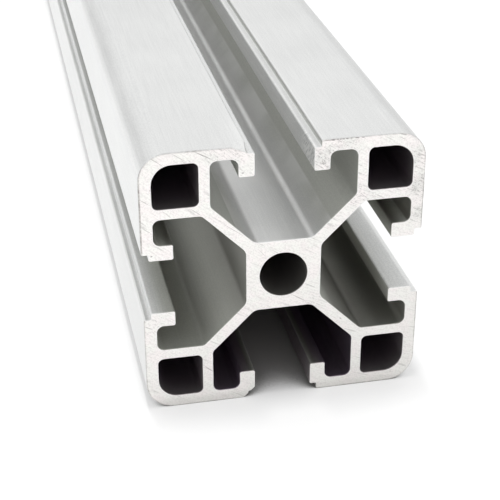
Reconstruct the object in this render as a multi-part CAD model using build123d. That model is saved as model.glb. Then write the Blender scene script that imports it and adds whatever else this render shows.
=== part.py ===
from build123d import *
import os
from math import isclose, sqrt

# A square aluminium T-slot profile, extruded as one piece and sawn square to length.
# It lies along Y on the floor Z = 0, with X across it and the origin under its middle.
# The section has four equal sides, and every size below is in millimetres.

# Outside
SIDE = 40.0
LENGTH = 300.0
CORNER_RADIUS = 4.0

# Slot: its mouth, the hooked lips beside it and the chamber behind them
MOUTH_WIDTH = 8.2
REBATE_WIDTH = 1.0
REBATE_DEPTH = 1.0
HOOK_DEPTH = 4.5
HOOK_THICKNESS = 2.3
LIP_THICKNESS = 1.8
CHAMBER_WIDTH = 20.5

# Hollow corner boxes, the webs that carry them, and the bored core
BOX_SKIN = 1.8
BOX_WALL = 1.6
WEB_THICKNESS = 1.8
CORE_WIDTH = 10.8
BORE_DIAMETER = 6.8

# Roundings of the section
EDGE_RADIUS = 0.3
REBATE_ROOT_RADIUS = 0.2
HOOK_ROOT_RADIUS = 1.0
CHAMBER_CORNER_RADIUS = 1.0
WEB_TO_BOX_RADIUS = 1.0
WEB_TO_CORE_RADIUS = 1.5
CAVITY_OUTER_RADIUS = 2.8
CAVITY_RADIUS = 0.8

# How far a cutting outline runs past the face that it cuts
OVERCUT = 1.0

# Two coordinates nearer than this are the same
SAME_PLACE = 1e-6

# Worked out from the sizes above, measured from the section's centre
FACE = SIDE / 2
MOUTH_SIDE = MOUTH_WIDTH / 2
REBATE_SIDE = MOUTH_SIDE + REBATE_WIDTH
REBATE_FLOOR = FACE - REBATE_DEPTH
HOOK_TIP = FACE - HOOK_DEPTH
HOOK_BACK = MOUTH_SIDE + HOOK_THICKNESS
CEILING = FACE - LIP_THICKNESS
CHAMBER_SIDE = CHAMBER_WIDTH / 2
CORE_FACE = CORE_WIDTH / 2
CAVITY_NEAR = CHAMBER_SIDE + BOX_WALL
CAVITY_FAR = FACE - BOX_SKIN

# A web runs out along the diagonal, so each of its faces stands this far off it,
# measured along the section's own axes
WEB_OFFSET = WEB_THICKNESS / sqrt(2)


def slot_void():
    """The space of the upper slot: rebated mouth, neck between the hooks, and chamber.

    The corners are listed down the right-hand side, from above the face to the core,
    and the left-hand side is their mirror image.
    """
    right_side = [
        ((REBATE_SIDE, FACE + OVERCUT), 0),
        ((REBATE_SIDE, REBATE_FLOOR), REBATE_ROOT_RADIUS),
        ((MOUTH_SIDE, REBATE_FLOOR), EDGE_RADIUS),
        ((MOUTH_SIDE, HOOK_TIP), EDGE_RADIUS),
        ((HOOK_BACK, HOOK_TIP), EDGE_RADIUS),
        ((HOOK_BACK, CEILING), HOOK_ROOT_RADIUS),
        ((CHAMBER_SIDE, CEILING), CHAMBER_CORNER_RADIUS),
        ((CHAMBER_SIDE, CHAMBER_SIDE + WEB_OFFSET), WEB_TO_BOX_RADIUS),
        ((CORE_FACE - WEB_OFFSET, CORE_FACE), WEB_TO_CORE_RADIUS),
    ]
    left_side = [((-x, y), radius) for (x, y), radius in reversed(right_side)]
    corners = right_side + left_side
    outline = FilletPolyline(
        [point for point, radius in corners],
        radius=[radius for point, radius in corners],
        close=True,
    )
    return make_face(outline)


def corner_cavity():
    """The hollow of the upper right corner box, rounder where it follows the corner."""
    outline = FilletPolyline(
        (CAVITY_NEAR, CAVITY_NEAR),
        (CAVITY_FAR, CAVITY_NEAR),
        (CAVITY_FAR, CAVITY_FAR),
        (CAVITY_NEAR, CAVITY_FAR),
        radius=[CAVITY_RADIUS, CAVITY_RADIUS, CAVITY_OUTER_RADIUS, CAVITY_RADIUS],
        close=True,
    )
    return make_face(outline)


def is_rebate_edge(vertex):
    """True for the sharp corners where a rebate breaks an outer face."""
    near, far = sorted((abs(vertex.X), abs(vertex.Y)))
    beside_slot = isclose(near, REBATE_SIDE, abs_tol=SAME_PLACE)
    on_face = isclose(far, FACE, abs_tol=SAME_PLACE)
    return beside_slot and on_face


def profile_section():
    """The whole section, centred on its bore."""
    section = RectangleRounded(SIDE, SIDE, CORNER_RADIUS)
    for quarter_turn in range(4):
        turn = Rot(0, 0, 90 * quarter_turn)
        section -= turn * slot_void()
        section -= turn * corner_cavity()
    section -= Circle(BORE_DIAMETER / 2)
    return fillet(section.vertices().filter_by(is_rebate_edge), EDGE_RADIUS)


def t_slot_profile():
    """The section drawn along Y, standing on the floor by its lower face."""
    placed = Plane.XZ * Pos(0, FACE) * profile_section()
    return extrude(placed, amount=LENGTH / 2, both=True)


os.makedirs("parts", exist_ok=True)
export_step(t_slot_profile(), "parts/t_slot_profile.step")
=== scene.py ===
import bpy
import numpy as np
from mathutils import Euler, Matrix
from mathutils.geometry import tessellate_polygon


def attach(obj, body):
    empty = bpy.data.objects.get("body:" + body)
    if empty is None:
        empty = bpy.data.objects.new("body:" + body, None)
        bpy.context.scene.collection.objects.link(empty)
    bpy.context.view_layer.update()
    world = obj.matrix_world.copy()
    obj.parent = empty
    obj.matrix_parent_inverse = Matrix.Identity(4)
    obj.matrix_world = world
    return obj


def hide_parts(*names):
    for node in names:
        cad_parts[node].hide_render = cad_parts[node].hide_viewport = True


# A square aluminium T-slot profile lying on a pale floor, seen from above its sawn end. It runs
# along Y, with its near cut at the low end. The profile's sizes and the places of the marks on
# its cut are in millimetres. Meshes, materials, lamps and the camera are in metres.
MM = 0.001
SIDE = 40.0
LENGTH = 300.0
FACE = SIDE / 2
HALF_LENGTH = LENGTH / 2

CORNER_RADIUS = 4.0
EDGE_RADIUS = 0.3
STEP_ROOT_RADIUS = 0.2
HOOK_ROOT_RADIUS = 1.0
CHAMBER_CORNER_RADIUS = 1.0
WEB_TO_BOX_RADIUS = 1.0
WEB_TO_CORE_RADIUS = 1.5
CAVITY_OUTER_RADIUS = 2.8
CAVITY_RADIUS = 0.8
BORE_RADIUS = 3.4

# Half the width of a slot at the step in its mouth, between its hooks, behind them, and at its
# widest, and then how far down from the face its step, its lips and its hooks reach.
STEP_HALF = 5.1
MOUTH_HALF = 4.1
HOOK_HALF = 6.4
CHAMBER_HALF = 10.25
STEP_DEPTH = 1.0
LIP_DEPTH = 1.8
HOOK_DEPTH = 4.5

# Half the width of the core, and where a slanting web leaves the core's face and the box's wall.
CORE_HALF = 5.4
WEB_AT_CORE = 4.127
WEB_AT_BOX = 11.523

# Each slot is given by half of its outline, from the outer face down to the core: across, upward,
# and the radius of the corner there.
SLOT_HALF = np.array([
    (STEP_HALF, FACE, EDGE_RADIUS),
    (STEP_HALF, FACE - STEP_DEPTH, STEP_ROOT_RADIUS),
    (MOUTH_HALF, FACE - STEP_DEPTH, EDGE_RADIUS),
    (MOUTH_HALF, FACE - HOOK_DEPTH, EDGE_RADIUS),
    (HOOK_HALF, FACE - HOOK_DEPTH, EDGE_RADIUS),
    (HOOK_HALF, FACE - LIP_DEPTH, HOOK_ROOT_RADIUS),
    (CHAMBER_HALF, FACE - LIP_DEPTH, CHAMBER_CORNER_RADIUS),
    (CHAMBER_HALF, WEB_AT_BOX, WEB_TO_BOX_RADIUS),
    (WEB_AT_CORE, CORE_HALF, WEB_TO_CORE_RADIUS),
])
CAVITY_NEAR = 11.85
CAVITY_FAR = FACE - LIP_DEPTH

# How finely the outlines are stepped, and how the sawn edge is broken.
ARC_STEPS = 10
BORE_STEPS = 96
OUTLINE_STEP = 0.25
EDGE_BREAK = 0.06
EDGE_BREAK_LENGTH = 0.10
RAGGED = 0.014
CAP_BAND = 0.17
SMOOTH_UP_TO = 28

# The rings of points at one end of the bar: how far from the end, how far drawn in, what share of
# the raggedness, and how torn the metal looks, partly as painted shade. The first two are in the
# cut itself.
END_RINGS = np.array([
    (0.0, EDGE_BREAK + CAP_BAND, 0.0, 0.0),
    (0.0, EDGE_BREAK, 1.0, 1.0),
    (EDGE_BREAK_LENGTH * 0.45, EDGE_BREAK * 0.3, 0.5, 1.0),
    (EDGE_BREAK_LENGTH, 0.0, 0.0, 0.6),
    (0.4, 0.0, 0.0, 0.0),
    (2.0, 0.0, 0.0, 0.0),
    (12.0, 0.0, 0.0, 0.0),
    (60.0, 0.0, 0.0, 0.0),
])

# How much shade is painted into the skin: 0 on the open faces, 1 in a closed cavity, and more
# where hardly any light gets in. Each slot has a value for its core face, one for the room behind
# its lower or left lip, and one for the room behind its upper or right lip. The slot on top, where
# the light falls in from above, has the least painted shade, and the one underneath the most.
TOP_SLOT = (0.0, 0.40, 0.44)
LEFT_SLOT = (0.76, 0.60, 0.78)
RIGHT_SLOT = (0.46, 0.80, 0.86)
BOTTOM_SLOT = (0.64, 1.4, 1.4)
CAVITY_PAINTED_SHADE = 1.0
BORE_PAINTED_SHADE = 0.90

# The walls between the hooks have this share of their slot's painted shade. The step and the right
# wall of the slot on top have this much more of it.
MOUTH_WALL = 0.62
RIGHT_MOUTH_WALL = 0.25
BOTTOM_MOUTH_WALL = 1.5
TOP_STEP = 0.3
FAR_WALL = 0.12

# The depth at which the painted shade starts in a slot, and over how much more it comes to its
# full value. The slot underneath is painted dark right from its mouth. Then the same two for how
# dull the skin is, and the share of that in the slot on top.
PAINTED_SHADE_DEPTHS = (0.9, 3.0)
BOTTOM_PAINTED_SHADE_DEPTHS = (0.2, 1.0)
DULL_DEPTHS = (0.3, 1.5)
TOP_DULLNESS = 0.55

# Handling has rubbed the skin along the lips of the slots, over about this width. The deep part of
# the slot on top is painted lighter by this much, below this depth, as painted light from above.
RUB_WIDTH = 0.5
TOP_SLOT_LIGHT = 1.05
TOP_SLOT_LIGHT_DEPTH = 12

# Two lip corners are knocked off at the near end, each from its first point to its second. The
# last number is how far back along the bar the damage goes.
WORN_CORNERS = (
    ((-4.1, -18.3), (-5.85, -20.0), 9.0),
    ((-7.5, 20.0), (-5.1, 19.0), 2.0),
)

CAMERA_PLACE = (-0.0377, -0.305702, 0.109014)
CAMERA_TURN = (61.9968, 0.1358, -11.9964)
CAMERA_LENS = 93.825
SENSOR = 36.0

# One soft strip hangs along the bar, above its left side and nearer to its near end.
STRIP_PLACE = (-0.028, -0.09, 0.9)
STRIP_AIM = (-0.028, -0.09, 0)
STRIP_SIZE = (0.06, 0.24)
STRIP_WATTS = 3.7


def rounded_loop(corners):
    """A closed polygon with every corner rounded: the arc at a corner touches both of its sides at
    radius x tan(half the turn) from the corner, and turns evenly from one side to the other."""
    point = corners[:, :2]
    radius = corners[:, 2]
    before = np.roll(point, 1, axis=0)
    after = np.roll(point, -1, axis=0)
    way_in = point - before
    way_in /= np.linalg.norm(way_in, axis=1)[:, None]
    way_out = after - point
    way_out /= np.linalg.norm(way_out, axis=1)[:, None]
    cross = way_in[:, 0] * way_out[:, 1] - way_in[:, 1] * way_out[:, 0]
    dot = (way_in * way_out).sum(axis=1)
    turn = np.arctan2(cross, dot)
    start = point - way_in * (radius * np.tan(np.abs(turn) / 2))[:, None]
    side = np.sign(turn)[:, None] * np.stack([-way_in[:, 1], way_in[:, 0]], axis=1)
    centre = start + side * radius[:, None]
    angle = turn[:, None] * np.linspace(0, 1, ARC_STEPS)[None, :]
    arm = (start - centre)[:, None, :]
    cos = np.cos(angle)
    sin = np.sin(angle)
    x = arm[..., 0] * cos - arm[..., 1] * sin
    z = arm[..., 0] * sin + arm[..., 1] * cos
    return (centre[:, None, :] + np.stack([x, z], axis=2)).reshape(-1, 2)


def stepped_loop(loop):
    """The same closed line with more points: its own, and one at each even step of its length."""
    closed = np.vstack([loop, loop[:1]])
    run = np.concatenate([[0], np.cumsum(np.linalg.norm(np.diff(closed, axis=0), axis=1))])
    even = np.arange(0, run[-1], OUTLINE_STEP)
    far = np.abs(even[:, None] - run[None, :]).min(axis=1) > OUTLINE_STEP / 3
    stations = np.sort(np.concatenate([run[:-1], even[far]]))
    x = np.interp(stations, run, closed[:, 0])
    z = np.interp(stations, run, closed[:, 1])
    return np.stack([x, z], axis=1)


def outward(loop):
    """The unit direction to the left of travel at each point, which leads out of the metal."""
    along = np.roll(loop, -1, axis=0) - np.roll(loop, 1, axis=0)
    along /= np.linalg.norm(along, axis=1)[:, None]
    return np.stack([-along[:, 1], along[:, 0]], axis=1)


def outer_outline():
    """The outside of the section, clockwise: a rounded corner and a slot, turned to all four
    sides."""
    right = SLOT_HALF[::-1]
    left = SLOT_HALF * (-1, 1, 1)
    corner = np.array([(-FACE, FACE, CORNER_RADIUS)])
    quarter = np.vstack([corner, left, right])
    quarters = []
    for cos, sin in ((1, 0), (0, -1), (-1, 0), (0, 1)):
        x = quarter[:, 0] * cos - quarter[:, 1] * sin
        z = quarter[:, 0] * sin + quarter[:, 1] * cos
        quarters.append(np.stack([x, z, quarter[:, 2]], axis=1))
    return stepped_loop(rounded_loop(np.vstack(quarters)))


def cavity_outlines():
    """The four corner cavities, anticlockwise: a square with three small arcs and one large one."""
    near, far = CAVITY_NEAR, CAVITY_FAR
    square = np.array([
        (near, near, CAVITY_RADIUS),
        (far, near, CAVITY_RADIUS),
        (far, far, CAVITY_OUTER_RADIUS),
        (near, far, CAVITY_RADIUS),
    ])
    loops = []
    for across, upward in ((1, 1), (-1, 1), (-1, -1), (1, -1)):
        corners = square * (across, upward, 1)
        if across * upward < 0:
            corners = corners[::-1]
        loops.append(stepped_loop(rounded_loop(corners)))
    return loops


def bore_outline():
    """The centre bore, anticlockwise: a circle."""
    angle = np.linspace(0, 2 * np.pi, BORE_STEPS, endpoint=False)
    return BORE_RADIUS * np.stack([np.cos(angle), np.sin(angle)], axis=1)


def outer_skin(loop):
    """The depth in its slot, the painted shade, the dullness, and the rub with painted light of
    each point of the outside. The painted shade goes in a straight line from the core's value,
    between the hooks, to that of the room behind them, and from 0 near the face to its full value
    over a set depth. The rub falls off from the lip's edge as e to the power of minus the distance
    over the rub's width, and the deep part of the slot on top gets painted light as well."""
    nearest = np.abs(loop).min(axis=1)
    depth = np.where(nearest > FACE - CORNER_RADIUS, 0, FACE - np.abs(loop).max(axis=1))
    from_lip = np.abs(nearest - STEP_HALF)
    on_top = loop[:, 1] > np.abs(loop[:, 0])
    below = -loop[:, 1] > np.abs(loop[:, 0])
    on_left = ~on_top & ~below & (loop[:, 0] < 0)
    on_right = ~on_top & ~below & ~on_left
    upper = np.where(on_top | below, loop[:, 0], loop[:, 1]) > 0

    # Painted shade: how much darker the colour is made in each slot, between its hooks and behind
    # them.
    core, low_room, high_room = [
        np.select([on_top, below, on_left], slots, right)
        for *slots, right in zip(TOP_SLOT, BOTTOM_SLOT, LEFT_SLOT, RIGHT_SLOT)
    ]
    far_wall = on_top & upper & (nearest > CHAMBER_HALF - 0.25) & (depth > LIP_DEPTH + 0.7)
    behind = np.where(upper, high_room, low_room) + FAR_WALL * far_wall
    aside = np.clip((nearest - MOUTH_HALF) / (HOOK_HALF - MOUTH_HALF), 0, 1)
    on_mouth = (nearest < MOUTH_HALF + 0.3) & (depth < HOOK_DEPTH - 0.1)
    wall = np.select([below, on_right], [BOTTOM_MOUTH_WALL, RIGHT_MOUTH_WALL], MOUTH_WALL)
    painted_shade = (core + (behind - core) * aside) * np.where(on_mouth, wall, 1.0)

    start, run = PAINTED_SHADE_DEPTHS
    bottom_start, bottom_run = BOTTOM_PAINTED_SHADE_DEPTHS
    deepening = np.where(below, (depth - bottom_start) / bottom_run, (depth - start) / run)
    back_wall = (on_left | on_right) & (nearest > HOOK_HALF + 0.2) & (depth > STEP_DEPTH)
    deepening = np.where(back_wall, 1.0, deepening)
    on_step = (from_lip < 0.05) & (depth > 0.2) & (depth < STEP_DEPTH - 0.1)
    painted_shade = painted_shade * np.clip(deepening, 0, 1) + TOP_STEP * (on_step & on_top)

    start, run = DULL_DEPTHS
    dull = np.clip((depth - start) / run, 0, 1) * np.where(on_top, TOP_DULLNESS, 1.0)
    # Painted light: the deep part of the slot on top is made lighter.
    top_slot_light = TOP_SLOT_LIGHT * (on_top & (depth > TOP_SLOT_LIGHT_DEPTH))
    rub_and_light = np.exp(-from_lip / RUB_WIDTH) * (depth < 0.3) + top_slot_light
    return depth, painted_shade, dull, rub_and_light


def wander(count, knots, rng):
    """A smooth random line from -1 to 1 that joins up with itself: values at even knots, joined."""
    value = rng.uniform(-1, 1, knots)
    place = np.arange(count) * knots / count
    return np.interp(place, np.arange(knots + 1), np.append(value, value[0]))


def ragged_edge(count, rng):
    """How far each point of a sawn edge strays: a fine and a coarse random line, added."""
    fine = wander(count, max(8, count // 2), rng)
    coarse = wander(count, max(6, count // 5), rng)
    return RAGGED * (fine + coarse)


def worn_corner(place, from_near, top, foot, run):
    """How far the points of a worn corner move. The points that lie outside the worn line, and
    in the circle that has it as its diameter, go square on to that line, all the way at the
    near end and not at all run millimetres back from it."""
    along = (foot - top) / np.linalg.norm(foot - top)
    inward = np.array([along[1], -along[0]])
    reach = 1.03 * np.linalg.norm(foot - top) / 2
    away = ((place - top) * inward).sum(axis=-1)
    chosen = (np.linalg.norm(place - (top + foot) / 2, axis=-1) < reach) & (away < 0)
    kept = np.clip(1 - from_near / run, 0, 1)[:, None]
    return -(away * chosen * kept)[..., None] * inward


def filled_ends(points, near_rows, far_rows):
    """The triangles that close both sawn ends between the outlines. Each faces away from the bar:
    seen from the near end, they go anticlockwise there and clockwise at the far end."""
    triangles = []
    for rows, wants_anticlockwise in ((near_rows, True), (far_rows, False)):
        order = np.concatenate(rows)
        filled = tessellate_polygon([[tuple(p) for p in points[row][:, (0, 2)]] for row in rows])
        filled = order[np.array(filled)]
        flat = points[filled][..., (0, 2)]
        one = flat[:, 1] - flat[:, 0]
        two = flat[:, 2] - flat[:, 0]
        anticlockwise = one[:, 0] * two[:, 1] - one[:, 1] * two[:, 0] > 0
        wanted = anticlockwise == wants_anticlockwise
        triangles.append(np.where(wanted[:, None], filled, filled[:, ::-1]))
    return np.concatenate(triangles)


def sawn_bar():
    """The whole bar: each outline is carried along Y, drawn in slightly at both sawn ends where
    the edge is broken, and the two ends are filled between the outlines."""
    rng = np.random.default_rng(40)
    loops = [outer_outline(), *cavity_outlines(), bore_outline()]
    from_end, *values = END_RINGS.T
    inset, rough, edge = [np.concatenate([value, value[::-1]]) for value in values]
    y = np.concatenate([from_end - HALF_LENGTH, HALF_LENGTH - from_end[::-1]])
    rings = len(y)

    points, quads, finish, near_rows, far_rows = [], [], [], [], []
    surface = {"sawn_edge": [], "edge_highlight": [], "painted_shade": [], "inside": [], "rub_and_light": []}
    first = 0
    for number, loop in enumerate(loops):
        count = len(loop)
        outside = number == 0
        bore = number == len(loops) - 1
        if outside:
            depth, painted_shade, inside, rub_and_light = outer_skin(loop)
            torn_and_shaded = edge[:, None] * (depth < 0.1)
        else:
            # Painted shade in the cavities and the bore.
            painted_shade = np.full(count, BORE_PAINTED_SHADE if bore else CAVITY_PAINTED_SHADE)
            inside = np.ones(count)
            rub_and_light = np.zeros(count)
            torn_and_shaded = edge[:, None] * np.zeros(count)
        # Where the cut's inner edges get a painted highlight.
        edge_highlight = (edge[:, None] == 1.0) * (inside[None] > 0.3)
        for name, value in zip(surface, (torn_and_shaded, edge_highlight, painted_shade, inside, rub_and_light)):
            surface[name].append(np.broadcast_to(value, (rings, count)).reshape(-1))

        ragged = np.zeros((rings, count))
        ragged[1:3] = ragged_edge(count, rng)
        ragged[-3:-1] = ragged_edge(count, rng)
        drawn = np.minimum(rough[:, None] * ragged - inset[:, None], 0)
        place = loop[None] + outward(loop)[None] * drawn[..., None]
        if outside:
            for top, foot, run in WORN_CORNERS:
                top, foot = np.array(top), np.array(foot)
                place = place + worn_corner(place, y + HALF_LENGTH, top, foot, run)
        along = np.broadcast_to(y[:, None], (rings, count))
        grid = np.stack([place[..., 0], along, place[..., 1] + FACE], axis=2)
        points.append(grid.reshape(-1, 3))

        index = first + np.arange(rings * count).reshape(rings, count)
        ahead = np.roll(index, -1, axis=1)
        strip = np.stack([index[:-1], index[1:], ahead[1:], ahead[:-1]], axis=2)
        quads.append(strip.reshape(-1, 4))
        sawn = np.zeros((rings - 1, count), int)
        sawn[[0, -1]] = 1
        finish.append(sawn.reshape(-1))
        near_rows.append(index[0])
        far_rows.append(index[-1])
        first += rings * count

    points = np.concatenate(points)
    quads = np.concatenate(quads)
    triangles = filled_ends(points, near_rows, far_rows)
    finish = np.concatenate([*finish, np.ones(len(triangles), int)])

    mesh = bpy.data.meshes.new("slotted_bar")
    mesh.from_pydata(points * MM, [], quads.tolist() + triangles.tolist())
    mesh.polygons.foreach_set("material_index", finish.astype(np.int32))
    mesh.polygons.foreach_set("use_smooth", np.ones(len(finish), bool))
    for name, values in surface.items():
        layer = mesh.attributes.new(name, "FLOAT", "POINT")
        layer.data.foreach_set("value", np.concatenate(values).astype(np.float32))
    mesh.validate()
    mesh.update()
    mesh.set_sharp_from_angle(angle=np.radians(SMOOTH_UP_TO))
    bar = bpy.data.objects.new("slotted_bar", mesh)
    bpy.context.scene.collection.objects.link(bar)
    return bar


# Torn edges, darkened partly with painted shade, in waves a metre: the grains in them, and the
# places where they show.
TORN_GRAINS = 900
TORN_PLACES = 150


class Finish:
    """A material under construction: it adds nodes, joins them and sets their plain numbers."""

    def __init__(self, name):
        self.material = bpy.data.materials.new(name)
        self.material.use_nodes = True
        self.tree = self.material.node_tree
        self.shader = self.tree.nodes["Principled BSDF"]
        self.place = self.add("ShaderNodeTexCoord").outputs["Object"]

    def add(self, kind, **settings):
        node = self.tree.nodes.new(kind)
        for key, value in settings.items():
            setattr(node, key, value)
        return node

    def feed(self, socket, value):
        """Join a socket to another node's output, or give it a plain number."""
        if isinstance(value, bpy.types.NodeSocket):
            self.tree.links.new(value, socket)
        else:
            socket.default_value = value

    def math(self, operation, *values):
        node = self.add("ShaderNodeMath", operation=operation)
        for socket, value in zip(node.inputs, values):
            self.feed(socket, value)
        return node.outputs[0]

    def times(self, first, second):
        return self.math("MULTIPLY", first, second)

    def larger(self, first, second):
        return self.math("MAXIMUM", first, second)

    def weighed(self, *parts):
        """Several patterns added up, each times its own share."""
        pattern, share = parts[0]
        total = self.times(pattern, share)
        for pattern, share in parts[1:]:
            total = self.math("ADD", total, self.times(pattern, share))
        return total

    def vector_math(self, operation, value, second):
        """All the outputs of a sum on two vectors, the second one in plain numbers."""
        node = self.add("ShaderNodeVectorMath", operation=operation)
        self.feed(node.inputs[0], value)
        node.inputs[1].default_value = second
        return node.outputs

    def split(self, value):
        """The three parts of a vector: across the bar, along it and upward."""
        node = self.add("ShaderNodeSeparateXYZ")
        self.feed(node.inputs[0], value)
        return node.outputs

    def mapped(self, scale, turn=(0, 0, 0), centre=(0, 0, 0), source=None):
        """The place measured from a centre, along turned axes, and then scaled along them."""
        node = self.add("ShaderNodeMapping", vector_type="TEXTURE")
        self.feed(node.inputs["Vector"], source or self.place)
        node.inputs["Scale"].default_value = 1 / np.array(scale)
        node.inputs["Rotation"].default_value = np.radians(turn)
        node.inputs["Location"].default_value = centre
        return node.outputs[0]

    def value(self, name):
        """One of the values that the mesh holds at each of its points."""
        return self.add("ShaderNodeAttribute", attribute_name=name).outputs["Fac"]

    def noise(self, vector, detail=2.0, roughness=0.5, scale=1.0):
        node = self.add("ShaderNodeTexNoise")
        self.feed(node.inputs["Vector"], vector)
        node.inputs["Scale"].default_value = scale
        node.inputs["Detail"].default_value = detail
        node.inputs["Roughness"].default_value = roughness
        return node.outputs[0]

    def steps(self, value, low, high, to_low=0.0, to_high=1.0):
        """A smooth change from one level, where the value is low, to another, where it is high."""
        node = self.add("ShaderNodeMapRange", interpolation_type="SMOOTHSTEP")
        self.feed(node.inputs["Value"], value)
        node.inputs["From Min"].default_value = low
        node.inputs["From Max"].default_value = high
        node.inputs["To Min"].default_value = to_low
        node.inputs["To Max"].default_value = to_high
        return node.outputs[0]

    def blend(self, amount, first, second):
        node = self.add("ShaderNodeMix", data_type="RGBA")
        self.feed(node.inputs[0], amount)
        self.feed(node.inputs[6], first)
        self.feed(node.inputs[7], second)
        return node.outputs[2]

    def relief(self, height, distance, under=None):
        """A bump as high as the distance, laid over the one under it."""
        node = self.add("ShaderNodeBump")
        self.feed(node.inputs["Height"], height)
        node.inputs["Distance"].default_value = distance
        if under is not None:
            self.feed(node.inputs["Normal"], under)
        return node.outputs[0]

    def torn_and_shaded(self, least, most):
        """How torn and painted dark a sawn edge is, grain by grain, from the least to the most."""
        grains = self.noise(self.place, scale=TORN_GRAINS, detail=3.0, roughness=0.7)
        return self.steps(grains, 0.35, 0.65, least, most)

    def patches(self):
        """Where a torn, painted dark edge shows: most of the way round it is fainter."""
        return self.steps(self.noise(self.place, scale=TORN_PLACES, detail=1.0), 0.42, 0.58, 0.38)


# The skin's patterns, in waves a metre: one number, or three for across, along and upward.
ETCHED_LINES = (4200, 100, 4200)
DIE_LINES = (1500, 5, 1500)
CROSS_RUBS = (5200, 150, 5200)
CROSS_RUB_SLANT = 52
SCUFFED_PLACES = 260
GRAIN = 5200
CLOUDS = 90

# The skin's colours. The first two pairs go from the darkest grain to the lightest. The one in a
# cavity is painted shade in its depths, turning to painted light just inside its ends. The colour
# behind the lips and the one for the deepest places are painted shade as well.
OPEN_FACE = ((0.760, 0.766, 0.762, 1), (0.862, 0.868, 0.860, 1))
IN_SLOT = ((0.524, 0.532, 0.496, 1), (0.590, 0.598, 0.558, 1))
IN_CAVITY = ((0.33, 0.285, 0.32, 1), (0.40, 0.37, 0.38, 1))
BEHIND_LIPS = (0.345, 0.340, 0.315, 1)
BURIED = (0.265, 0.220, 0.272, 1)
LOW_LEFT_SHADE = (0.62, 0.62, 0.615, 1)
RUBBED_AND_LIT = (0.88, 0.88, 0.87, 1)
SCUFFED = (0.45, 0.45, 0.44, 1)
SLIP_LIGHT = (0.95, 0.95, 0.94, 1)
SLIP_DARK = (0.40, 0.40, 0.39, 1)
TORN_SKIN_AND_SHADE = (0.29, 0.275, 0.26, 1)

# Slanting marks on the right wall of the top slot's mouth, where a tool has slipped at the near
# end: their place, how far out they fade, how far in they are full, where across the bar they
# end, and their waves.
SLIP_PLACE = (0.0041, -0.1480, 0.0373)
SLIP_REACH = 0.0062
SLIP_HEART = 0.0030
SLIP_WALL = 0.00435
SLIP_WAVES = (300, 560, 4200)
SLIP_SLANT = -40

# How deep the skin's grain, its etched lines and its scuffs are.
GRAIN_RELIEF = 0.0000040
LINE_RELIEF = 0.0000035
SCUFF_RELIEF = 0.0000060


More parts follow.
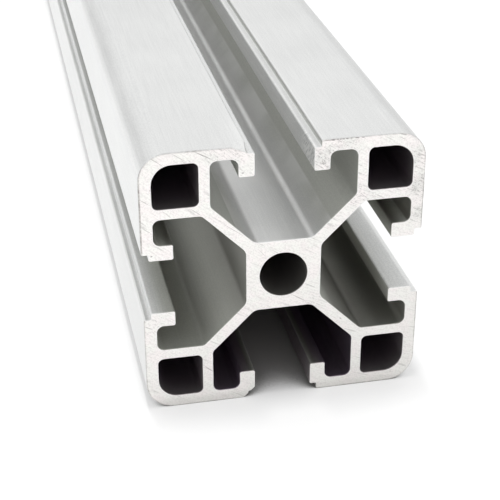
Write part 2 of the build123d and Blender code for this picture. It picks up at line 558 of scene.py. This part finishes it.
def anodised_skin():
    """Matte silver anodised skin: a fine etched grain, faint short and long die lines along the
    bar, a few rubs across it, and a torn edge at the saw cut, partly painted shade, darkest up the
    left side. The lower left face has painted shade near the cut. The skin is rougher inside the
    slots and has painted shade there and in the closed cavities, with painted light just inside
    the cavities' ends. The deep part of the slot on top is painted lighter."""
    f = Finish("anodised_skin")
    fine = f.noise(f.mapped(ETCHED_LINES), detail=3.0, roughness=0.65)
    drawn = f.noise(f.mapped(DIE_LINES), detail=2.0)
    grain = f.noise(f.place, scale=GRAIN, detail=2.0, roughness=0.6)
    cloud = f.noise(f.place, scale=CLOUDS, detail=2.0)
    across = f.noise(f.mapped(CROSS_RUBS, turn=(0, 0, CROSS_RUB_SLANT)), detail=2.0)
    places = f.noise(f.place, scale=SCUFFED_PLACES, detail=2.0)
    scuff = f.times(f.steps(across, 0.60, 0.72), f.steps(places, 0.56, 0.68))
    painted_shade = f.value("painted_shade")
    inside = f.value("inside")

    tone = f.weighed((fine, 0.28), (drawn, 0.10), (cloud, 0.12), (grain, 0.50))
    tone = f.steps(tone, 0.40, 0.60)
    open_face = f.blend(tone, *OPEN_FACE)
    in_slot = f.blend(tone, *IN_SLOT)
    side, along, height = f.split(f.place)
    # Painted light just inside the cavities' ends; painted shade in the slots, behind the lips and
    # deeper in.
    near_end = f.steps(f.math("ABSOLUTE", along), 0.1460, 0.1500)
    in_cavity = f.blend(near_end, *IN_CAVITY)
    colour = f.blend(f.steps(painted_shade, 0.0, 0.5), open_face, in_slot)
    closed = f.steps(painted_shade, 0.5, 0.95)
    colour = f.blend(closed, colour, BEHIND_LIPS)
    colour = f.blend(f.steps(painted_shade, 0.85, 1.0), colour, in_cavity)
    colour = f.blend(f.steps(painted_shade, 1.0, 1.4), colour, BURIED)

    # Painted shade: the lower left face is made darker near the cut.
    low_left_shade = f.times(f.steps(side, -0.0185, -0.0195), f.steps(height, 0.0165, 0.0145))
    low_left_shade = f.times(low_left_shade, f.steps(along, -0.100, -0.150, 0.0, 0.30))
    colour = f.blend(low_left_shade, colour, LOW_LEFT_SHADE)
    # Lighter where the lips are rubbed, and painted light deep in the slot on top.
    rub_and_light = f.times(f.value("rub_and_light"), f.steps(cloud, 0.35, 0.60, 0.3, 1.0))
    colour = f.blend(f.times(rub_and_light, 0.6), colour, RUBBED_AND_LIT)
    colour = f.blend(f.times(scuff, 0.15), colour, SCUFFED)

    slip = f.vector_math("DISTANCE", f.place, SLIP_PLACE)
    slip = f.steps(slip["Value"], SLIP_REACH, SLIP_HEART)
    slip = f.times(slip, f.math("LESS_THAN", side, SLIP_WALL))
    slanted = f.noise(f.mapped(SLIP_WAVES, turn=(SLIP_SLANT, 0, 0)), detail=2.0)
    light = f.times(slip, f.steps(slanted, 0.48, 0.60))
    dark = f.times(slip, f.steps(slanted, 0.44, 0.34))
    colour = f.blend(f.times(light, 0.8), colour, SLIP_LIGHT)
    colour = f.blend(f.times(dark, 0.35), colour, SLIP_DARK)

    # A torn edge: darker partly as torn metal and partly as painted shade at the edge.
    torn_and_shaded = f.times(f.torn_and_shaded(0.35, 0.85), f.value("sawn_edge"))
    left_edge = f.steps(side, -0.0188, -0.0197, 0.0, 0.9)
    torn_and_shaded = f.times(torn_and_shaded, f.larger(f.patches(), left_edge))
    colour = f.blend(torn_and_shaded, colour, TORN_SKIN_AND_SHADE)

    rough = f.math("MULTIPLY_ADD", fine, 0.12, 0.35)
    rough = f.math("MULTIPLY_ADD", cloud, 0.06, rough)
    rough = f.math("MULTIPLY_ADD", inside, 0.27, rough)
    rough = f.math("MULTIPLY_ADD", closed, -0.20, rough)
    rough = f.math("MULTIPLY_ADD", rub_and_light, -0.08, rough)
    f.feed(f.shader.inputs["Base Color"], colour)
    f.feed(f.shader.inputs["Roughness"], rough)
    f.shader.inputs["Metallic"].default_value = 1.0
    relief = f.relief(grain, GRAIN_RELIEF)
    relief = f.relief(fine, LINE_RELIEF, relief)
    relief = f.relief(f.times(scuff, -1.0), SCUFF_RELIEF, relief)
    f.feed(f.shader.inputs["Normal"], relief)
    return f.material


# Where the blade chattered on the cut: across, upward, reach and depth of the marks. They are at
# their full depth out to this share of their reach.
CHATTER_HEART = 0.25
CHATTER = (
    (5.4, 37.2, 3.2, 0.90),
    (8.5, 38.8, 3.0, 0.50),
    (19.2, 32.0, 2.8, 1.00),
    (19.0, 36.2, 2.8, 0.60),
    (19.0, 27.8, 2.6, 0.60),
    (-8.0, 38.6, 4.5, 0.45),
    (11.0, 31.0, 3.2, 0.50),
    (-12.6, 6.5, 2.2, 0.35),
    (4.5, 15.0, 2.6, 0.30),
    (-18.5, 14.0, 3.0, 0.25),
    (16.5, 4.5, 5.0, 0.20),
)

# Scratches and nicks on the near cut: across, upward, half length, half width, slope in degrees
# and depth. The last ones are torn places along the upper right edge. A mark fades out over the
# last part of its length, so it is drawn longer than it looks. All of them are in the colour, and
# those with more than this half length are in the relief as well.
FADE = 1.3
SCORED_HALF_LENGTH = 0.5
SCRATCHES = (
    (-11.14, 39.21, 1.50, 0.085, -29.6, 0.75),
    (-14.45, 39.23, 1.20, 0.070, -35.7, 0.50),
    (-17.07, 38.59, 0.85, 0.070, -41.5, 0.35),
    (-19.22, 33.15, 0.95, 0.075, -35.8, 0.45),
    (-12.28, 30.98, 1.10, 0.075, -38.1, 0.50),
    (-19.53, 30.00, 0.60, 0.070, -38.8, 0.30),
    (-19.13, 28.94, 0.80, 0.075, -36.7, 0.45),
    (-16.31, 31.10, 0.95, 0.070, -43.6, 0.30),
    (-7.22, 27.81, 1.80, 0.075, -37.0, 0.42),
    (-3.06, 23.67, 1.10, 0.070, -51.2, 0.30),
    (-3.86, 21.92, 1.05, 0.070, -26.0, 0.30),
    (-19.44, 13.64, 0.65, 0.080, -28.1, 0.45),
    (-10.93, 5.66, 0.80, 0.110, -40.3, 0.70),
    (2.30, 15.88, 1.20, 0.090, -32.3, 0.60),
    (16.40, 39.26, 0.55, 0.070, -31.0, 0.45),
    (11.26, 31.10, 0.85, 0.070, -41.3, 0.40),
    (-5.75, 36.17, 0.14, 0.120, 0.0, 0.80),
    (-18.55, 24.90, 0.15, 0.120, 20.0, 0.80),
    (8.53, 11.70, 0.18, 0.130, -30.0, 0.70),
    (-17.30, 9.80, 0.22, 0.160, 0.0, 0.60),
    (16.48, 39.82, 0.65, 0.085, -14.8, 0.85),
    (6.05, 39.84, 0.95, 0.090, 2.0, 0.70),
    (6.64, 39.85, 0.36, 0.150, -3.4, 1.00),
    (7.32, 39.87, 0.22, 0.100, 0.0, 0.80),
    (7.71, 39.87, 0.15, 0.120, 0.0, 0.95),
    (8.08, 39.87, 0.22, 0.110, 0.0, 0.95),
    (8.60, 39.87, 0.20, 0.115, 0.0, 0.90),
    (9.20, 39.88, 0.18, 0.100, 0.0, 0.80),
    (10.00, 39.87, 0.32, 0.115, 0.0, 0.95),
    (10.85, 39.88, 0.24, 0.110, 0.0, 0.90),
)

# The blade's axle, and how far from it a turn about it is measured as a length.
AXLE = (0.076, 0.0, 0.151)
ARC_REACH = 0.16

# The cut's patterns, in waves a metre. Those with three numbers follow the blade's arcs: from one
# arc to the next, along an arc, and a last number that does nothing.
SAW_LINES = (4600, 420, 1)
SAW_GROUPS = (900, 60, 1)
DEEP_LINES = (2500, 190, 1)
DEEP_LINES_SHIFT = (0.003, 0.007, 0)
SPECKLE = 3300
BLOTCHES = 420
PITS = 620
PITTED_PLACES = 700

# The cut's colours. Its clean metal has two, in blotches.
CLEAN_CUT = ((0.985, 0.948, 0.935, 1), (0.965, 0.962, 0.930, 1))
DULL_CUT = (0.58, 0.555, 0.54, 1)
CHATTERED = (0.56, 0.55, 0.555, 1)
HATCHED = (0.33, 0.315, 0.305, 1)
EDGE_HIGHLIGHT = (0.995, 0.985, 0.975, 1)
SCRATCHED = (0.33, 0.305, 0.305, 1)
CUT_SHADE_COLOUR = (0.50, 0.495, 0.475, 1)
TORN_CUT_AND_SHADE = (0.26, 0.24, 0.225, 1)

# How deep the cut's speckle, its groups of lines, its fine lines and its marks are.
SPECKLE_RELIEF = 0.000009
GROUP_RELIEF = 0.000010
SAW_LINE_RELIEF = 0.000009
MARK_RELIEF = 0.000020


def sawn_metal():
    """Bare sawn aluminium: arcs left by the blade, faint speckle, small pits, scratches, a painted
    highlight along the inner edges and a torn outer edge, partly painted shade. The arcs are the
    lines of equal distance from the blade's axle, off to the upper right. The cut has painted shade
    towards its lower right corner and along its foot. Only the long scratches are in the relief."""
    f = Finish("sawn_metal")
    flat = f.vector_math("MULTIPLY", f.place, (1, 0, 1))[0]
    from_axle = f.vector_math("SUBTRACT", flat, AXLE)[0]
    across, _, upward = f.split(from_axle)
    far = f.math("SQRT", f.math("ADD", f.times(across, across), f.times(upward, upward)))
    around = f.times(f.math("ARCTAN2", upward, across), ARC_REACH)
    sweep = f.add("ShaderNodeCombineXYZ")
    f.feed(sweep.inputs[0], far)
    f.feed(sweep.inputs[1], around)
    sweep = sweep.outputs[0]

    fine = f.noise(f.mapped(SAW_LINES, source=sweep), detail=3.0, roughness=0.7)
    groups = f.noise(f.mapped(SAW_GROUPS, source=sweep), detail=2.0)
    deep = f.noise(f.mapped(DEEP_LINES, centre=DEEP_LINES_SHIFT, source=sweep), detail=1.0)
    deep = f.steps(deep, 0.635, 0.72)
    speckle = f.noise(f.place, scale=SPECKLE, detail=3.0, roughness=0.8)
    patch = f.noise(f.place, scale=BLOTCHES, detail=2.0)
    pits = f.add("ShaderNodeTexVoronoi")
    f.feed(pits.inputs["Vector"], flat)
    pits.inputs["Scale"].default_value = PITS
    dots = f.noise(f.place, scale=PITTED_PLACES, detail=1.0)
    pits = f.times(f.steps(pits.outputs["Distance"], 0.16, 0.06), f.steps(dots, 0.58, 0.66))

    chatter = 0.0
    for x, z, reach, depth in CHATTER:
        away = f.vector_math("DISTANCE", flat, (x * MM, 0, z * MM))["Value"]
        marked = f.steps(away, reach * MM, reach * MM * CHATTER_HEART, 0.0, depth)
        chatter = f.larger(marked, chatter)

    scratched = 0.0
    scored = 0.0
    for x, z, half_length, half_width, slope, depth in SCRATCHES:
        scale = (1 / (half_length * FADE * MM), 1, 1 / (half_width * MM))
        middle = (x * MM, 0, z * MM)
        mark = f.mapped(scale, turn=(0, -slope, 0), centre=middle, source=flat)
        away = f.add("ShaderNodeVectorMath", operation="LENGTH")
        f.feed(away.inputs[0], mark)
        away = away.outputs["Value"]
        scratched = f.larger(f.steps(away, 1.0, 0.35, 0.0, depth), scratched)
        if half_length > SCORED_HALF_LENGTH:
            scored = f.larger(f.steps(away, 1.0, 0.35, 0.0, depth), scored)
    side, along, height = f.split(f.place)
    scratched = f.times(scratched, f.math("LESS_THAN", along, 0.0))

    colour = f.blend(f.steps(patch, 0.38, 0.62), *CLEAN_CUT)
    dull = f.weighed((fine, 0.40), (speckle, 0.60))
    colour = f.blend(f.steps(dull, 0.56, 0.39, 0.0, 0.38), colour, DULL_CUT)
    broken = f.weighed((fine, 0.55), (speckle, 0.45))
    hatch = f.times(f.steps(broken, 0.50, 0.39), chatter)
    hatch = f.larger(hatch, f.times(deep, f.steps(patch, 0.35, 0.60, 0.15, 0.5)))
    hatch = f.larger(hatch, f.times(pits, 0.6))
    worn = f.times(chatter, f.steps(patch, 0.35, 0.62, 0.08, 0.30))
    colour = f.blend(worn, colour, CHATTERED)
    colour = f.blend(f.times(hatch, 0.72), colour, HATCHED)
    # A painted highlight along the cut's inner edges.
    colour = f.blend(f.times(f.value("edge_highlight"), 0.7), colour, EDGE_HIGHLIGHT)
    colour = f.blend(scratched, colour, SCRATCHED)

    # Painted shade: the cut is left brightest at its upper left corner and made darker towards the
    # lower right one, and along its foot.
    lower_right = f.math("SUBTRACT", f.times(side, 0.5), height)
    cut_shade = f.steps(lower_right, -0.040, 0.014, 0.0, 0.35)
    cut_shade = f.larger(cut_shade, f.steps(height, 0.0026, 0.0004, 0.0, 0.46))
    colour = f.blend(cut_shade, colour, CUT_SHADE_COLOUR)

    # A torn edge: darker partly as torn metal and partly as painted shade at the edge.
    ragged = f.torn_and_shaded(0.40, 0.95)
    torn_and_shaded = f.times(ragged, f.value("sawn_edge"))
    torn_and_shaded = f.times(torn_and_shaded, f.patches())
    left_edge = f.times(ragged, f.steps(side, -0.01973, -0.01983))
    left_edge = f.times(left_edge, f.steps(height, 0.014, 0.022, 0.08, 0.85))
    torn_and_shaded = f.larger(torn_and_shaded, left_edge)
    colour = f.blend(torn_and_shaded, colour, TORN_CUT_AND_SHADE)

    f.feed(f.shader.inputs["Base Color"], colour)
    rough = f.math("MULTIPLY_ADD", fine, 0.20, 0.45)
    f.feed(f.shader.inputs["Roughness"], rough)
    f.shader.inputs["Metallic"].default_value = 1.0
    relief = f.relief(speckle, SPECKLE_RELIEF)
    relief = f.relief(groups, GROUP_RELIEF, relief)
    relief = f.relief(fine, SAW_LINE_RELIEF, relief)
    relief = f.relief(f.times(hatch, -1.0), MARK_RELIEF, relief)
    relief = f.relief(f.times(scored, -1.0), MARK_RELIEF, relief)
    f.feed(f.shader.inputs["Normal"], relief)
    return f.material


# The floor: half its width, its colours in the open and in the bar's shade, how far off a thing
# still shades it, and how brightly the camera and the metal see it in the open.
FLOOR_HALF = 3.0
OPEN_FLOOR = (0.6, 0.6, 0.6, 1)
SHADED_FLOOR = (0.26, 0.255, 0.25, 1)
SHADE_REACH = 0.03
SEEN_WHITE = 0.30
MIRRORED_WHITE = 0.36


def pale_floor():
    """A wide white floor. Where the bar stands close above it, which ambient occlusion tells, it
    is darker and gives no white of its own. That shade lies under the bar and in front of it, and
    hardly any of it beyond the bar's two long sides."""
    half = FLOOR_HALF
    mesh = bpy.data.meshes.new("floor")
    corners = [(-half, -half, 0), (half, -half, 0), (half, half, 0), (-half, half, 0)]
    mesh.from_pydata(corners, [], [(0, 1, 2, 3)])
    floor = bpy.data.objects.new("floor", mesh)
    bpy.context.scene.collection.objects.link(floor)
    f = Finish("white_paper")
    f.shader.inputs["Roughness"].default_value = 0.9
    f.shader.inputs["Specular IOR Level"].default_value = 0.0
    near = f.add("ShaderNodeAmbientOcclusion", samples=16)
    near.inputs["Distance"].default_value = SHADE_REACH
    opened = f.steps(near.outputs["AO"], 0.22, 0.50)
    side = f.split(f.place)[0]
    beside = f.steps(f.math("ABSOLUTE", side), 0.0165, 0.0195, 0.0, 0.90)
    opened = f.larger(opened, beside)
    f.feed(f.shader.inputs["Base Color"], f.blend(opened, SHADED_FLOOR, OPEN_FLOOR))
    path = f.add("ShaderNodeLightPath")
    white = f.times(path.outputs["Is Camera Ray"], SEEN_WHITE)
    white = f.larger(white, f.times(path.outputs["Is Glossy Ray"], MIRRORED_WHITE))
    f.shader.inputs["Emission Color"].default_value = (1, 1, 1, 1)
    f.feed(f.shader.inputs["Emission Strength"], f.times(white, opened))
    mesh.materials.append(f.material)


def studio_world():
    """White all round to the camera. In the metal it is dimmer low down and straight above, and a
    little brighter on the left. On everything else it is a plain soft light that comes mostly
    from above."""
    world = bpy.data.worlds.new("studio")
    world.use_nodes = True
    bpy.context.scene.world = world
    tree = world.node_tree
    shader = tree.nodes["Background"]
    shader.inputs["Color"].default_value = (1, 1, 1, 1)
    way = tree.nodes.new("ShaderNodeTexCoord")
    parts = tree.nodes.new("ShaderNodeSeparateXYZ")
    tree.links.new(way.outputs["Generated"], parts.inputs[0])

    def feed(socket, value):
        if isinstance(value, bpy.types.NodeSocket):
            tree.links.new(value, socket)
        else:
            socket.default_value = value

    def rising(low, high, by, axis=2):
        """A smooth change from 0, as the way looked goes from low to high along an axis."""
        node = tree.nodes.new("ShaderNodeMapRange")
        node.interpolation_type = "SMOOTHSTEP"
        node.inputs["From Min"].default_value = low
        node.inputs["From Max"].default_value = high
        node.inputs["To Max"].default_value = by
        tree.links.new(parts.outputs[axis], node.inputs["Value"])
        return node.outputs[0]

    def total(first, second):
        node = tree.nodes.new("ShaderNodeMath")
        node.operation = "ADD"
        feed(node.inputs[0], first)
        feed(node.inputs[1], second)
        return node.outputs[0]

    def chosen(test, yes, no):
        node = tree.nodes.new("ShaderNodeMix")
        feed(node.inputs[0], test)
        feed(node.inputs[2], no)
        feed(node.inputs[3], yes)
        return node.outputs[0]

    path = tree.nodes.new("ShaderNodeLightPath")
    in_metal = total(0.455, rising(0.0, 0.45, 0.63))
    in_metal = total(in_metal, rising(0.55, 1.0, -0.14))
    in_metal = total(in_metal, rising(-0.2, -0.9, 0.07, axis=0))
    on_things = total(0.25, rising(0.0, 0.8, 0.85))
    level = chosen(path.outputs["Is Glossy Ray"], in_metal, on_things)
    level = chosen(path.outputs["Is Camera Ray"], 1.0, level)
    tree.links.new(level, shader.inputs["Strength"])


def soft_lamp(name, place, aim, size, watts):
    """A soft box of one width and length at one point, turned to face another. The metal doesn't
    mirror it."""
    light = bpy.data.lights.new(name, "AREA")
    light.shape = "RECTANGLE"
    light.size, light.size_y = size
    light.energy = watts
    lamp = bpy.data.objects.new(name, light)
    lamp.location = place
    away = np.array(place) - np.array(aim)
    flat = np.hypot(away[0], away[1])
    lamp.rotation_euler = Euler((np.arctan2(flat, away[2]), 0, np.arctan2(away[0], -away[1])))
    bpy.context.scene.collection.objects.link(lamp)
    lamp.visible_glossy = False


def camera():
    """The place, turn and lens that line the bar's sawn end up with its picture."""
    data = bpy.data.cameras.new("camera")
    data.sensor_fit = "HORIZONTAL"
    data.sensor_width = SENSOR
    data.lens = CAMERA_LENS
    data.clip_start = 0.01
    data.clip_end = 20.0
    eye = bpy.data.objects.new("camera", data)
    eye.location = CAMERA_PLACE
    eye.rotation_euler = Euler(np.radians(CAMERA_TURN))
    bpy.context.scene.collection.objects.link(eye)
    bpy.context.scene.camera = eye


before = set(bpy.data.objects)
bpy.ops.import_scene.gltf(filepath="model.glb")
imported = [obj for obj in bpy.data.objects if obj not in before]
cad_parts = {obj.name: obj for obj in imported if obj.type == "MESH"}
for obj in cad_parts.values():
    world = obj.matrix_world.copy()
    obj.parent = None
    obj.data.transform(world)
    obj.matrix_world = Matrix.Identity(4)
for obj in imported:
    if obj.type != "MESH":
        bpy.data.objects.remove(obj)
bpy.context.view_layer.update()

scene = bpy.context.scene
scene.view_settings.view_transform = "Standard"

camera()
pale_floor()
studio_world()
soft_lamp("strip_above", STRIP_PLACE, STRIP_AIM, STRIP_SIZE, STRIP_WATTS)

bar = sawn_bar()
bar.data.materials.append(anodised_skin())
bar.data.materials.append(sawn_metal())
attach(bar, "root")
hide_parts("t_slot_profile")
